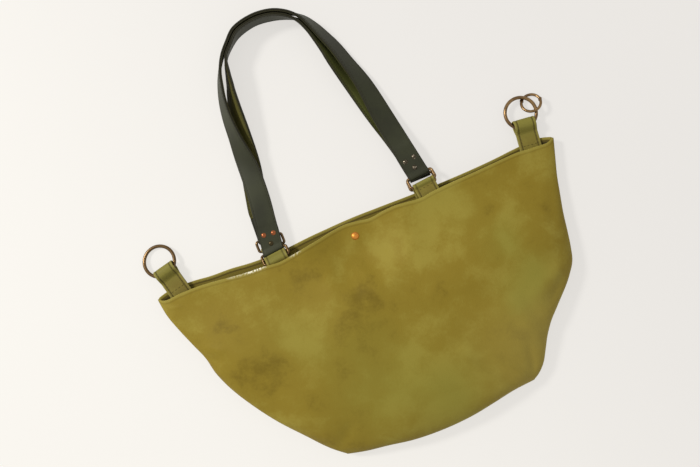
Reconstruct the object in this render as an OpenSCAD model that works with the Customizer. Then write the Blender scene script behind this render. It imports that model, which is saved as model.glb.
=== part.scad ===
// Trapeze bag of waxed leather, lying on its back with its two handles laid out above the mouth.
// X runs along the mouth, Y from the bag towards the handles, Z up from the table. Millimetres.

/* [Body] */
// Half the width of the mouth, from the middle of the bag to a mouth corner
mouth_half = 246; // [210:1:280]
// Half the width at the knees, where the sides turn in
knee_half = 208.5; // [180:1:235]
// Depth of the knees below the mouth
knee_depth = 140; // [110:1:165]
// Half the width at the bottom corners
bottom_half = 118; // [90:1:150]
// Depth of the bottom corners below the mouth
side_depth = 249; // [225:1:290]
// Extra depth of the bottom edge midway between its corners
bottom_bow = 12; // [0:1:25]
// Rounding of the knees
knee_round = 3; // [1:0.5:8]
// Thickness of the panel leather
panel_t = 1.7; // [1.2:0.1:2.2]
// Height of the side and bottom seam above the table
seam_z = 10; // [8.5:0.5:14]
// Height of the front panel at its fullest
crown_z = 40; // [32:1:55]
// Rise of the front mouth edge above the seam
mouth_rise = 13; // [11.5:0.5:18]
// How far the front mouth edge hangs below the line between the mouth corners
front_dip = 3; // [0:0.5:6]
// Further dip of the front mouth edge under the left end of the front handle
tab_dip = 9; // [5:0.5:10]
// How far the back mouth edge stands above the line between the mouth corners
back_rise = 2.5; // [0:0.5:4]

/* [Mouth facings] */
// Depth of the facing strips inside the mouth
facing_depth = 30; // [29:1:40]
// Turned hem of the panels above the facings
hem_turn = 2.2; // [2:0.1:3]
// Thickness of the facing leather
facing_t = 1.4; // [1:0.1:1.8]
// Columns of the panel grid left free of facing at each mouth corner
facing_short = 4; // [3:1:6]

/* [Magnetic snap] */
// Place of the snap along the mouth
snap_x = -8; // [-20:1:20]
// Distance of the snap below the mouth
snap_depth = 17.5; // [15:0.5:19.5]
// Radius of the copper caps
cap_r = 4.6; // [3.5:0.1:5]
// Height of the copper caps
cap_h = 2.2; // [1.4:0.1:2.6]
// Radius of the socket and the stud plate
snap_r = 8.5; // [7:0.1:9.5]
// Thickness of the stud plate
stud_plate_t = 1; // [0.8:0.1:1.4]
// Thickness of the socket
socket_t = 2.6; // [2.2:0.1:3.4]
// Radius of the stud's nub
nub_r = 3; // [2.4:0.1:4]
// Radius of the rivet posts under the caps
post_r = 1.5; // [1:0.1:2]

/* [Handle rings and tabs] */
// Distance from the middle of the bag line to the middle of each handle ring
ring_half = 94.5; // [80:0.5:120]
// Inner width of a handle ring
ring_inner_w = 28; // [26.8:0.2:34]
// Inner height of a handle ring
ring_inner_h = 9; // [8.6:0.2:14]
// Wire diameter of a handle ring
ring_wire = 3.2; // [2.6:0.1:3.4]
// Width of a handle tab
tab_w = 26; // [20:0.5:27]
// Thickness of one layer of tab leather
tab_layer = 1.5; // [1.2:0.1:1.7]
// Length of a handle tab inside the mouth
tab_tail = 22; // [16:1:23]
// Reach of the front left tab past its ring bar
left_flap = 8; // [5:0.2:8]
// Middle of the front ring bars, along the mouth and across it
front_bar = [-6.6, 0.2];
// Turn of the front ring bars about the vertical
front_turn = 5.6; // [3:0.1:7]
// Fall of the front rings from their tabs to the handle
front_fall = 23; // [15:0.5:25]
// Middle of the back ring bars, along the mouth and across it
back_bar = [-7.5, 6.3];

/* [Handles] */
// Width of a handle strap
strap_w = 25; // [20:0.5:26]
// Thickness of the dark outer leather of a handle
outer_t = 2; // [1.5:0.1:2.2]
// Thickness of the olive lining of a handle
lining_t = 1.3; // [1:0.1:1.6]
// Distance from a ring bar to the end of the folded strap
fold_len = 27; // [25:0.5:32]
// Gap between the two handles where they nest
nest_gap = 1.6; // [1.4:0.1:2]
// Radius of a handle rivet's head
rivet_r = 2.8; // [2.2:0.1:3.2]
// Height of a handle rivet's head
rivet_h = 1.2; // [0.8:0.1:1.4]
// Radius of a handle rivet's shank
shank_r = 1.2; // [0.8:0.1:1.5]
// Distance from a ring bar to the single rivet
rivet_near = 9; // [8.6:0.1:10]
// Distance from the single rivet to the pair
rivet_step = 11; // [9:0.5:12]
// Distance between the two rivets of a pair
rivet_pair = 11.4; // [9:0.2:14]

/* [Corner rings and tabs] */
// Inner diameter of a corner ring
eye_d = 32; // [28:0.5:36]
// Wire diameter of a corner ring
eye_wire = 4; // [3:0.1:4.4]
// Width of a corner tab at its fold
corner_tab_w = 25; // [22:0.2:26]
// Width of a corner tab at the mouth
corner_root_w = 26; // [24:0.5:28]
// Slack of a corner tab's fold past the ring
corner_slack = 1.5; // [1:0.5:5]
// Length of a corner tab inside the mouth
corner_tail = 18; // [12:1:22]
// Distance of each corner tab's middle from its mouth corner, left then right
corner_inset = [26.1, 27.6];
// Reach of each corner tab's eye above the mouth, left then right
corner_reach = [26.5, 26.7];
// Lean of each corner tab away from the handles, left then right
corner_lean = [13.1, 6.2];

/* [Clip ring] */
// Outer diameter of the spring-gate ring
clip_d = 25.2; // [24:0.2:27]
// Wire diameter of the spring-gate ring
clip_wire = 3.2; // [2.8:0.1:3.4]
// Angle that the gate spans
gate_span = 84; // [70:1:95]
// Tilt of the clip ring where it hangs through the corner ring
clip_tilt = 25; // [24:0.5:30]

/* [Hidden] */
$fn = 48;

leather = [0.55, 0.47, 0.17];
tab_leather = [0.46, 0.40, 0.18];
strap_leather = [0.22, 0.23, 0.16];
strap_lining = [0.36, 0.38, 0.17];
aged_brass = [0.58, 0.50, 0.42];
copper = [0.75, 0.50, 0.25];

// clearances: layers that lie on each other, a ring in its leather loop, a cut overlap
lay = 0.2;
play = 0.15;
bite = 0.5;

// Ease curves shared by the panels
function smooth(u) = let(c = max(0, min(1, u))) c * c * (3 - 2 * c);
function mix(a, b, w) = a + (b - a) * w;
function soft_min(a, b, r) = (a + b) / 2 - sqrt(pow((a - b) / 2, 2) + r * r);
function spread(u) = (u + sin(90 * u)) / 2;

// Layers at the snap, from the table upwards
dimple_z = cap_h + lay;
stud_z = dimple_z + panel_t + facing_t + 2 * lay;
socket_z = stud_z + stud_plate_t + lay;
front_facing_z = socket_z + socket_t + lay;
snap_top_z = front_facing_z + facing_t + lay + panel_t;
snap_y = -snap_depth;
snap_flat = snap_r + 4;
snap_reach = 55;
dimple_flat = norm([cap_r + 1, cap_r + front_dip + back_rise]);
dimple_reach = 22;

// Panel grid: columns crowd towards the sides, rows towards the bottom edge. Two columns and
// two rows frame the snap, so the leather is flat under its caps.
side_cols = 14;
cols = 2 * side_cols + 1;
hem_rows = 3;
rows = 16;
snap_frame = cap_r + 1;
function snap_s(x) = x / half_width(snap_depth, 0);
function col_s(i) = i <= side_cols
  ? mix(snap_s(snap_x - snap_frame), -1, spread(1 - i / side_cols))
  : mix(snap_s(snap_x + snap_frame), 1, spread((i - side_cols - 1) / side_cols));
function row_d(j) = j < hem_rows ? [0, snap_depth - cap_r - front_dip, snap_depth + cap_r + back_rise][j]
  : mix(facing_depth, side_depth, spread((j - hem_rows) / (rows - hem_rows)));

// Half width of the bag at depth d, and a point's place in plan, drawn in by inset
function half_width(d, inset) = soft_min(mix(mouth_half, knee_half, d / knee_depth),
  mix(bottom_half, knee_half, (side_depth - d) / (side_depth - knee_depth)), knee_round) - inset;
function flare(s) = 1 - pow(abs(s), 8);
function front_edge(x) = -front_dip * flare(x / mouth_half)
  - tab_dip * exp(-pow((x - front_left[0]) / 42, 2));
function back_edge(x) = back_rise * flare(x / mouth_half);
function plan(s, d, inset, edge) = let(t = d / side_depth)
  [s * half_width(d, inset), edge * pow(1 - t, 4) - d + inset * t - t * bottom_bow * (1 - s * s)];

// Height of each panel's surface: a pillow on the seam, pressed flat round the snap
function near_snap(p, flat, reach) = 1 - smooth((norm(p - [snap_x, snap_y]) - flat) / reach);
function front_point(s, d, inset) = let(
  p = plan(s, d, inset, front_edge(s * mouth_half)),
  t = d / side_depth,
  rise = mix(mouth_rise, crown_z - seam_z, smooth(t / 0.4)) - inset,
  pillow = seam_z + rise * sqrt(max(0, 1 - pow(abs(s), 3))) * sqrt(max(0, 1 - pow(t, 6))))
  [p[0], p[1], mix(pillow, snap_top_z - inset, near_snap(p, snap_flat, snap_reach))];
function back_point(s, d, inset) = let(
  p = plan(s, d, inset, back_edge(s * mouth_half)),
  t = d / side_depth,
  full = 1.15 * sqrt(max(0, 1 - pow(abs(s), 6))) * sqrt(max(0, 1 - pow(t, 8))),
  hull_z = seam_z - (seam_z - inset) * (inset > 0 ? min(1, full) : full))
  [p[0], p[1], mix(hull_z, dimple_z + inset, near_snap(p, dimple_flat, dimple_reach))];

// A sheet of leather between two grids of points of n by m cells, top and bottom
function cells(n, m, base, up) = [for (j = [0:m - 1], i = [0:n - 1])
  let(a = base + j * (n + 1) + i, b = a + 1, c = a + n + 2, e = a + n + 1)
  each (up ? [[a, b, c], [a, c, e]] : [[a, c, b], [a, e, c]])];
function border(n, m) = concat([for (i = [0:n - 1]) i],
  [for (j = [0:m - 1]) j * (n + 1) + n],
  [for (i = [n:-1:1]) m * (n + 1) + i],
  [for (j = [m:-1:1]) j * (n + 1)]);
module sheet(top, bottom, n, m) {
  base = len(top);
  loop = border(n, m);
  walls = [for (k = [0:len(loop) - 1])
    let(a = loop[k], b = loop[(k + 1) % len(loop)])
    each [[b, a, a + base], [b, a + base, b + base]]];
  polyhedron(concat(top, bottom), concat(cells(n, m, 0, true), cells(n, m, base, false), walls));
}
function front_grid(inset, c0, m, top) = [for (j = [0:m], i = [c0:cols - c0])
  front_point(col_s(i), max(top, row_d(j)), inset)];
function back_grid(inset, c0, m, top) = [for (j = [0:m], i = [c0:cols - c0])
  back_point(col_s(i), max(top, row_d(j)), inset)];

module back_panel() {
  color(leather) difference() {
    sheet(back_grid(panel_t, 0, rows, 0), back_grid(0, 0, rows, 0), cols, rows);
    translate([-mouth_half * 2, -side_depth * 2, -seam_z])
      cube([mouth_half * 4, side_depth * 3, seam_z]);
    translate([snap_x, snap_y, 0]) cylinder(r = post_r + play, h = stud_z + bite);
  }
}

module front_panel() {
  color(leather) difference() {
    sheet(front_grid(0, 0, rows, 0), front_grid(panel_t, 0, rows, 0), cols, rows);
    translate([snap_x, snap_y, socket_z]) cylinder(r = post_r + play, h = snap_top_z);
  }
}

// The facings follow the panels' inner faces; they are cut back where the snap's plates sit
facing_in = panel_t + lay;
facing_out = facing_in + facing_t;
facing_cols = cols - 2 * facing_short;

module back_facing() {
  color(leather) difference() {
    sheet(back_grid(facing_out, facing_short, hem_rows, hem_turn),
      back_grid(facing_in, facing_short, hem_rows, hem_turn), facing_cols, hem_rows);
    translate([snap_x, snap_y, 0]) cylinder(r = post_r + play, h = socket_z);
    translate([snap_x, snap_y, stud_z - play]) cylinder(r = snap_r + play, h = socket_t + cap_h);
  }
}

module front_facing() {
  color(leather) difference() {
    sheet(front_grid(facing_in, facing_short, hem_rows, hem_turn),
      front_grid(facing_out, facing_short, hem_rows, hem_turn), facing_cols, hem_rows);
    translate([snap_x, snap_y, socket_z]) cylinder(r = post_r + play, h = snap_top_z);
    translate([snap_x, snap_y, stud_z]) cylinder(r = snap_r + play, h = front_facing_z - stud_z);
  }
}

// A domed cap, dome up, its flat underside on z = 0
function dome_radius(r, h) = (r * r + h * h) / (2 * h);
module cap(r, h) {
  ball = dome_radius(r, h);
  intersection() {
    translate([0, 0, h - ball]) sphere(r = ball);
    cylinder(r = r + 1, h = h + 1);
  }
}

module snap_front_cap() {
  color(copper) translate([snap_x, snap_y, 0]) {
    translate([0, 0, snap_top_z]) cap(cap_r, cap_h);
    translate([0, 0, front_facing_z]) cylinder(r = post_r, h = snap_top_z - front_facing_z + bite);
  }
}

module snap_socket() {
  color(aged_brass) translate([snap_x, snap_y, socket_z]) difference() {
    cylinder(r = snap_r, h = socket_t);
    translate([0, 0, -1]) cylinder(r = nub_r + play, h = socket_t * 0.7 + 1);
  }
}

module snap_stud() {
  color(aged_brass) translate([snap_x, snap_y, stud_z]) {
    cylinder(r = snap_r, h = stud_plate_t);
    cylinder(r = nub_r, h = stud_plate_t + socket_t * 0.6);
  }
}

module snap_back_cap() {
  color(copper) translate([snap_x, snap_y, 0]) {
    translate([0, 0, dimple_z - lay / 2]) mirror([0, 0, 1]) cap(cap_r, cap_h);
    translate([0, 0, dimple_z - bite]) cylinder(r = post_r, h = stud_z - dimple_z + bite);
  }
}

// Outline of a leather loop round a bar at the origin, seen along the bar: the flat runs to -x
module loop_outline(bore, wall, flat_t, slack, taper, tail) {
  round_r = bore + wall;
  difference() {
    union() {
      circle(r = round_r);
      if (slack > 0) {
        translate([slack, 0]) circle(r = round_r);
        translate([0, -round_r]) square([slack, 2 * round_r]);
      }
      polygon([[0, round_r * 0.98], [-taper, flat_t / 2], [-tail, flat_t / 2],
        [-tail, -flat_t / 2], [-taper, -flat_t / 2], [0, -round_r * 0.98]]);
    }
    circle(r = bore);
    if (slack > 0) {
      translate([slack, 0]) circle(r = bore);
      translate([0, -bore]) square([slack, 2 * bore]);
    }
  }
}
// Stands an outline on edge: its x axis turns to Y, its y axis to Z, and it is w wide along X
module along_bar(w) {
  rotate([90, 0, 90]) linear_extrude(w, center = true) children();
}

// Handle ring bars
ring_r = ring_wire / 2;
bore_r = ring_r + play;
bar_pitch = ring_inner_h + ring_wire;
tab_t = 2 * tab_layer + lay;
tab_round = bore_r + tab_layer;
turn_dir = [cos(front_turn), sin(front_turn)];
front_left = front_bar - ring_half * turn_dir;
front_right = front_bar + ring_half * turn_dir;

// Height of the front ring bars: the tabs lie under the front facing
function facing_under(x) = front_point(x / mouth_half, 0, facing_out)[2];
front_bar_z = min(facing_under(front_left[0] - tab_w / 2), facing_under(front_right[0] + tab_w / 2))
  - tab_t / 2 - 0.6;
strap_round = bore_r + outer_t;
back_bar_z = panel_t + facing_t + 2 * lay + tab_t / 2;
back_upper_z = strap_round + lay;
back_fall = asin((back_bar_z - back_upper_z) / bar_pitch);

// Places on a handle side at its ring bar: x along the bars, y towards the handle
module at_front_bars() {
  translate([front_bar[0], front_bar[1], front_bar_z]) rotate(front_turn) children();
}
module at_back_bars() {
  translate([back_bar[0], back_bar[1], back_bar_z]) children();
}

module handle_tab(tail) {
  along_bar(tab_w) loop_outline(bore_r, tab_layer, tab_t, 0, tab_round + lay, tail);
}
// The front left tab is longer than its loop: its folded edge reaches past the bar
module flap() {
  along_bar(tab_w) difference() {
    translate([0, -tab_t / 2]) square([left_flap, tab_t]);
    circle(r = bore_r);
  }
}

module front_tab_left() {
  tail = front_left[1] - front_edge(front_left[0]) + tab_tail;
  color(tab_leather) at_front_bars() translate([-ring_half, 0, 0]) {
    handle_tab(tail);
    flap();
  }
}

module front_tab_right() {
  tail = front_right[1] - front_edge(front_right[0]) + tab_tail;
  color(tab_leather) at_front_bars() translate([ring_half, 0, 0]) handle_tab(tail);
}

module back_tab(x) {
  color(tab_leather) at_back_bars() translate([x, 0, 0])
    handle_tab(back_bar[1] - back_rise + tab_tail);
}
module back_tab_left() { back_tab(-ring_half); }
module back_tab_right() { back_tab(ring_half); }

// A flat rectangular ring: one bar on the X axis, the other bar_pitch away along Y
module handle_ring() {
  bend = ring_wire * 0.8;
  half_w = (ring_inner_w + ring_wire) / 2;
  for (y = [0, bar_pitch])
    translate([bend - half_w, y, 0]) rotate([0, 90, 0]) cylinder(r = ring_r, h = 2 * (half_w - bend));
  for (x = [-half_w, half_w])
    translate([x, bend, 0]) rotate([-90, 0, 0]) cylinder(r = ring_r, h = bar_pitch - 2 * bend);
  for (corner = [[1, 1, 0], [-1, 1, 90], [-1, 0, 180], [1, 0, 270]])
    translate([corner[0] * (half_w - bend), corner[1] == 1 ? bar_pitch - bend : bend, 0])
      rotate(corner[2]) rotate_extrude(angle = 90) translate([bend, 0]) circle(r = ring_r);
}

module front_ring(x) {
  color(aged_brass) at_front_bars() translate([x, 0, 0]) rotate([-front_fall, 0, 0]) handle_ring();
}
module back_ring(x) {
  color(aged_brass) at_back_bars() translate([x, 0, 0]) rotate([-back_fall, 0, 0]) handle_ring();
}
module front_ring_left() { front_ring(-ring_half); }
module front_ring_right() { front_ring(ring_half); }
module back_ring_left() { back_ring(-ring_half); }
module back_ring_right() { back_ring(ring_half); }

// Upper bars, which the handles fold round
front_up = bar_pitch * cos(front_fall) * [-sin(front_turn), cos(front_turn)];
front_upper_z = front_bar_z - bar_pitch * sin(front_fall);
front_ends = [front_left + front_up, front_right + front_up];
back_up = [0, bar_pitch * cos(back_fall)];
back_ends = [back_bar + [-ring_half, 0] + back_up, back_bar + [ring_half, 0] + back_up];

// Lean of each strap from straight up the page, towards the middle of the bag: left, right
front_leans = [7, -10];
back_leans = [3, -9];
function lean_dir(a) = [sin(a), cos(a)];
function end_knot(bar, lean, far, z) = let(p = bar + far * lean_dir(lean)) [p[0], p[1], z, 0];

// Middle line of each handle: x, y, height of its lower edge over the table, twist of the strap.
// At twist 0 the strap lies flat; at 90 it stands on its outer edge.
front_route = [[-94.1, 64, 7.9, 4], [-92.3, 98, 4.6, 17], [-92.9, 135, 2.5, 50], [-92.8, 162, 1.1, 62],
  [-90.6, 182, 0.6, 67.5], [-86.6, 199, 0.3, 72], [-81.2, 214.6, 0.2, 78], [-72.7, 229.4, 0.1, 82],
  [-61.3, 242.2, 0.1, 83.5], [-46.5, 253.4, 0.1, 90], [-24, 258.6, 0.1, 90], [-2, 256.6, 0.1, 90],
  [16, 249.6, 0.1, 83], [29.5, 239.2, 0.1, 72], [38.4, 224.6, 0.2, 63], [45.6, 208.6, 0.4, 57],
  [52.2, 192.4, 0.8, 53.5], [58.8, 170, 1.5, 49], [66.6, 141, 3.1, 37], [73, 100, 5, 15],
  [78.3, 68, 8, 4]];
back_left_route = [[-95, 80, 0.1, 4], [-90, 104, 0.1, 13], [-85, 138, 0.1, 37],
  [-81.8, 167, 0.1, 51], [-78.6, 187, 0.1, 63], [-76, 198, 0.1, 70], [-74, 208, 0.1, 75]];
back_right_route = [[40.2, 206, 0.1, 56], [43.8, 192, 0.1, 52], [47.3, 176.7, 0.1, 46],
  [57.6, 140, 0.1, 30], [68.3, 102, 0.1, 12], [76, 76, 0.2, 3]];
nested = [7, 14];

function lifted(k, under) = [k[0], k[1], k[2] + strap_w / 2 * sin(k[3]) + under * cos(k[3]), k[3]];
function side_step(route, i, by) = let(
  run = [route[i + 1][0] - route[i - 1][0], route[i + 1][1] - route[i - 1][1]],
  out = [-run[1], run[0]] / norm(run))
  [route[i][0] - by * out[0], route[i][1] - by * out[1], route[i][2], route[i][3]];
nest_step = 2 * (lining_t + lay / 2) + nest_gap;
back_route = concat(back_left_route,
  [for (i = [nested[0]:nested[1]]) side_step(front_route, i, nest_step)], back_right_route);

function knots(ends, leans, z, route, under) = concat(
  [end_knot(ends[0], leans[0], fold_len, z), end_knot(ends[0], leans[0], fold_len * 4 / 3, z - 0.1)],
  [for (k = route) lifted(k, under)],
  [end_knot(ends[1], leans[1], fold_len * 4 / 3, z - 0.1), end_knot(ends[1], leans[1], fold_len, z)]);
front_knots = knots(front_ends, front_leans, front_upper_z, front_route, lining_t + lay / 2);
back_knots = knots(back_ends, back_leans, back_upper_z, back_route, outer_t);

// A smooth curve through the knots, with its direction
steps = 3;
function tangent(k, i) = i == 0 ? k[1] - k[0]
  : i == len(k) - 1 ? k[i] - k[i - 1] : (k[i + 1] - k[i - 1]) / 2;
function curve(a, b, ta, tb, u) = (2 * u * u * u - 3 * u * u + 1) * a + (u * u * u - 2 * u * u + u) * ta
  + (3 * u * u - 2 * u * u * u) * b + (u * u * u - u * u) * tb;
function slope(a, b, ta, tb, u) = (6 * u * u - 6 * u) * (a - b) + (3 * u * u - 4 * u + 1) * ta
  + (3 * u * u - 2 * u) * tb;
function unit(v) = v / norm(v);
// One frame of the strap: place, direction across the strap, direction out of its upper face
function frame_at(p, run) = let(
  along = unit([run[0], run[1], run[2]]),
  out = unit([-run[1], run[0], 0]),
  up = cross(along, out),
  face = cos(p[3]) * up + sin(p[3]) * out,
  wide = cos(p[3]) * out - sin(p[3]) * up)
  [[p[0], p[1], p[2]], wide, face, along];
function frames(k) = concat(
  [for (i = [0:len(k) - 2], j = [0:steps - 1]) let(u = j / steps, ta = tangent(k, i), tb = tangent(k, i + 1))
    frame_at(curve(k[i], k[i + 1], ta, tb, u), slope(k[i], k[i + 1], ta, tb, u))],
  [frame_at(k[len(k) - 1], tangent(k, len(k) - 1))]);

// A strap layer swept along its frames, from height low to high over the middle line
function section(f, shift, w, low, high) = [for (c = [[1, high], [-1, high], [-1, low], [1, low]])
  f[0] + shift * f[3] + c[0] * w / 2 * f[1] + c[1] * f[2]];
module swept(fr, w, low, high, reach) {
  n = len(fr);
  rings = concat(reach > 0 ? [section(fr[0], -reach, w, low, high)] : [],
    [for (f = fr) section(f, 0, w, low, high)],
    reach > 0 ? [section(fr[n - 1], reach, w, low, high)] : []);
  last = 4 * (len(rings) - 1);
  sides = [for (i = [0:len(rings) - 2], c = [0:3])
    let(a = 4 * i + c, b = 4 * i + (c + 1) % 4)
    each (c < 2 ? [[a, a + 4, b + 4], [a, b + 4, b]] : [[a, a + 4, b], [a + 4, b + 4, b]])];
  caps = [[0, 1, 2], [0, 2, 3], [last + 2, last + 1, last], [last + 3, last + 2, last]];
  polyhedron([for (r = rings) each r], concat(sides, caps));
}

// Stands at a strap end: y runs along the strap from the bar, z out of its upper face
module at_strap_end(end, lean, z) {
  translate([end[0], end[1], z]) rotate(-lean) children();
}
fold_t = 2 * outer_t + 1.5 * lay;
module strap_fold(end, lean, z, bar_turn) {
  start = strap_round + 2;
  difference() {
    union() {
      translate([end[0], end[1], z]) rotate(bar_turn) mirror([0, 1, 0]) along_bar(strap_w)
        loop_outline(bore_r, outer_t, fold_t - play, 0, start, start + 3);
      at_strap_end(end, lean, z) translate([-strap_w / 2 - lay, start, -fold_t / 2])
        cube([strap_w + 2 * lay, fold_len - start - lay, fold_t]);
    }
    at_strap_end(end, lean, z) at_rivets()
      translate([0, 0, -fold_t]) cylinder(r = shank_r + play / 3, h = 2 * fold_t);
  }
}
module at_rivets() {
  for (p = [[0, rivet_near], [-rivet_pair / 2, rivet_near + rivet_step],
    [rivet_pair / 2, rivet_near + rivet_step]])
    translate([p[0], p[1], 0]) children();
}

// One riveted strap end's three rivets, heads on the dark face
module end_rivets(end, lean, z, head_up) {
  at_strap_end(end, lean, z) at_rivets() mirror([0, 0, head_up ? 0 : 1]) {
    translate([0, 0, fold_t / 2 + lay / 4]) cap(rivet_r, rivet_h);
    translate([0, 0, -fold_t / 2 - lay]) cylinder(r = shank_r, h = fold_t + lay + bite);
    translate([0, 0, -fold_t / 2 - lay / 4 - rivet_h / 2]) cylinder(r = rivet_r * 0.8, h = rivet_h / 2);
  }
}

module front_handle_outer() {
  color(strap_leather) {
    swept(frames(front_knots), strap_w, 0, outer_t, 1.2);
    for (i = [0, 1]) strap_fold(front_ends[i], front_leans[i], front_upper_z, front_turn);
  }
}
module front_handle_lining() {
  color(strap_lining) swept(frames(front_knots), strap_w, -lining_t - lay / 2, -lay / 2, 0);
}
module front_handle_rivets() {
  color(copper) for (i = [0, 1]) end_rivets(front_ends[i], front_leans[i], front_upper_z, true);
}
module back_handle_outer() {
  color(strap_leather) {
    swept(frames(back_knots), strap_w, -outer_t, 0, 1.2);
    for (i = [0, 1]) strap_fold(back_ends[i], back_leans[i], back_upper_z, 0);
  }
}
module back_handle_lining() {
  color(strap_lining) swept(frames(back_knots), strap_w, lay / 2, lining_t + lay / 2, 0);
}
module back_handle_rivets() {
  color(copper) for (i = [0, 1]) end_rivets(back_ends[i], back_leans[i], back_upper_z, false);
}

// Corner rings turn in round eyes, wide enough for the bend of the ring across the tab
eye_mean = (eye_d + eye_wire) / 2;
eye_sag = eye_mean - sqrt(eye_mean * eye_mean - corner_tab_w * corner_tab_w / 4);
eye_bore = eye_sag / 2 + eye_wire / 2 * eye_mean / (eye_mean - eye_sag) + play;
corner_root_x = [corner_inset[0] - mouth_half, mouth_half - corner_inset[1]];
corner_s = (max(-corner_root_x[0], corner_root_x[1]) + corner_root_w / 2) / half_width(corner_tail, 0);
corner_z = back_point(corner_s, corner_tail, panel_t)[2] + lay + tab_t / 2;
corner_ring_drop = asin((corner_z - eye_wire / 2) / (2 * eye_mean - eye_sag / 2));

// Stands at a corner tab's eye: side 0 is left, 1 right; y runs away from the bag
function corner_turn(side) = side == 0 ? corner_lean[0] : -corner_lean[1];
module at_corner(side) {
  translate([corner_root_x[side], 0, corner_z]) rotate(corner_turn(side))
    translate([0, corner_reach[side], 0]) children();
}
module corner_tab(side) {
  narrow = eye_bore + tab_layer + 2.5;
  tail = corner_reach[side] + corner_tail;
  color(tab_leather) at_corner(side) {
    along_bar(corner_tab_w) loop_outline(eye_bore, tab_layer, tab_t, corner_slack, narrow, narrow + 2);
    translate([0, 0, -tab_t / 2]) linear_extrude(tab_t) polygon([[-corner_tab_w / 2, -narrow],
      [corner_tab_w / 2, -narrow], [corner_root_w / 2, -tail], [-corner_root_w / 2, -tail]]);
  }
}
module corner_tab_left() { corner_tab(0); }
module corner_tab_right() { corner_tab(1); }

module corner_ring(side, drop) {
  color(aged_brass) at_corner(side) rotate([-drop, 0, 0]) translate([0, eye_mean - eye_sag / 2, 0])
    rotate_extrude() translate([eye_mean, 0]) circle(r = eye_wire / 2);
}
module corner_ring_left() { corner_ring(0, corner_ring_drop); }

// The right corner ring is propped on the clip ring that hangs through it
clip_mean = (clip_d - clip_wire) / 2;
clip_r = clip_wire / 2;
right_drop = 3;
module corner_ring_right() { corner_ring(1, right_drop); }

// Clip ring: the bearing of its centre round the corner ring, how far inside the ring's wire it
// lies, and the direction in which it climbs over that wire
clip_bearing = 28;
clip_inset = 1.2;
clip_climb = -97;
clip_z = clip_r + clip_mean * sin(clip_tilt);
module at_clip() {
  at_corner(1) translate([0, eye_mean - eye_sag / 2, clip_z - corner_z])
    rotate(clip_bearing) translate([eye_mean - clip_inset, 0, 0])
      rotate(clip_climb) rotate([0, -clip_tilt, 0]) children();
}

// The gate turns on a pin in a forked knuckle; a collar of the same size stands across the ring
gate_at = -144;
collar_at = 75;
knuckle_r = clip_r * 1.3;
tongue_t = clip_wire * 0.38;
pin_r = clip_wire * 0.16;
tip_slant = 11;
gate_reach = 2 * clip_mean * sin(gate_span / 2);
module wire_arc(from, span, r) {
  rotate(from) rotate_extrude(angle = span) translate([clip_mean, 0]) circle(r = r);
}
module at_wire(a) {
  rotate(a) translate([clip_mean, 0, 0]) children();
}
module at_hinge() {
  at_wire(gate_at) children();
}
module gate_swing(r) {
  at_hinge() translate([0, 0, -clip_wire]) cylinder(r = r, h = 2 * clip_wire);
}
module clip_ring_body() {
  color(aged_brass) at_clip() difference() {
    union() {
      wire_arc(gate_at + gate_span - tip_slant, 360 - gate_span + tip_slant, clip_r);
      at_hinge() translate([0, 0, -clip_r]) cylinder(r = knuckle_r, h = clip_wire);
      at_wire(collar_at) translate([0, 0, -clip_r]) cylinder(r = knuckle_r, h = clip_wire);
    }
    at_hinge() translate([0, 0, -tongue_t / 2 - play / 2])
      cylinder(r = knuckle_r + play, h = tongue_t + play);
    gate_swing(pin_r);
    intersection() {
      gate_swing(gate_reach + 2 * play);
      at_wire(gate_at + gate_span) translate([0, 0, -clip_wire])
        cylinder(r = 1.6 * clip_wire, h = 2 * clip_wire);
    }
  }
}
module clip_ring_gate() {
  color(aged_brass) at_clip() {
    intersection() {
      difference() {
        wire_arc(gate_at, gate_span + tip_slant, clip_r);
        gate_swing(knuckle_r + 2 * play);
      }
      gate_swing(gate_reach);
    }
    difference() {
      union() {
        at_hinge() translate([0, 0, -tongue_t / 2]) cylinder(r = knuckle_r * 0.85, h = tongue_t);
        rotate(gate_at) rotate_extrude(angle = 16)
          translate([clip_mean - clip_r * 0.6, -tongue_t / 2]) square([clip_r * 1.2, tongue_t]);
      }
      gate_swing(pin_r + 0.05);
    }
  }
}
module clip_ring_pin() {
  color(copper) at_clip() at_hinge() translate([0, 0, -clip_r]) cylinder(r = pin_r, h = clip_wire);
}

back_panel();
front_panel();
back_facing();
front_facing();
snap_back_cap();
snap_stud();
snap_socket();
snap_front_cap();
front_tab_left();
front_tab_right();
back_tab_left();
back_tab_right();
front_ring_left();
front_ring_right();
back_ring_left();
back_ring_right();
front_handle_outer();
front_handle_lining();
front_handle_rivets();
back_handle_outer();
back_handle_lining();
back_handle_rivets();
corner_tab_left();
corner_tab_right();
corner_ring_left();
corner_ring_right();
clip_ring_body();
clip_ring_gate();
clip_ring_pin();
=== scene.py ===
"""Trapeze bag of waxed leather, lying on its back with its handles laid out above the mouth."""

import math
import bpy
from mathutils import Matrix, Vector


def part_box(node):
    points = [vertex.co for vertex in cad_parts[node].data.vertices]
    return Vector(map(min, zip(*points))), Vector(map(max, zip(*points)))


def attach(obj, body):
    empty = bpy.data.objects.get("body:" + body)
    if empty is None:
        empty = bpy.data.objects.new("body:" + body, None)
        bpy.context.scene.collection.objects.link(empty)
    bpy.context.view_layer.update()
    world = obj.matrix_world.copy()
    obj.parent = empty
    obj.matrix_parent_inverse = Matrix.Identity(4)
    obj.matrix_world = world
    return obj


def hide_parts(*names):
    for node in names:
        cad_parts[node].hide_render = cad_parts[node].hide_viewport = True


bl_info = {
    "name": "Trapeze bag",
    "version": (1, 0, 0),
    "blender": (4, 5, 0),
    "location": "3D View > Sidebar > Bag",
    "description": "Builds a trapeze-shaped leather bag with ringed strap handles",
    "category": "Add Mesh",
}

import bmesh
import bpy
import numpy as np

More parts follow.
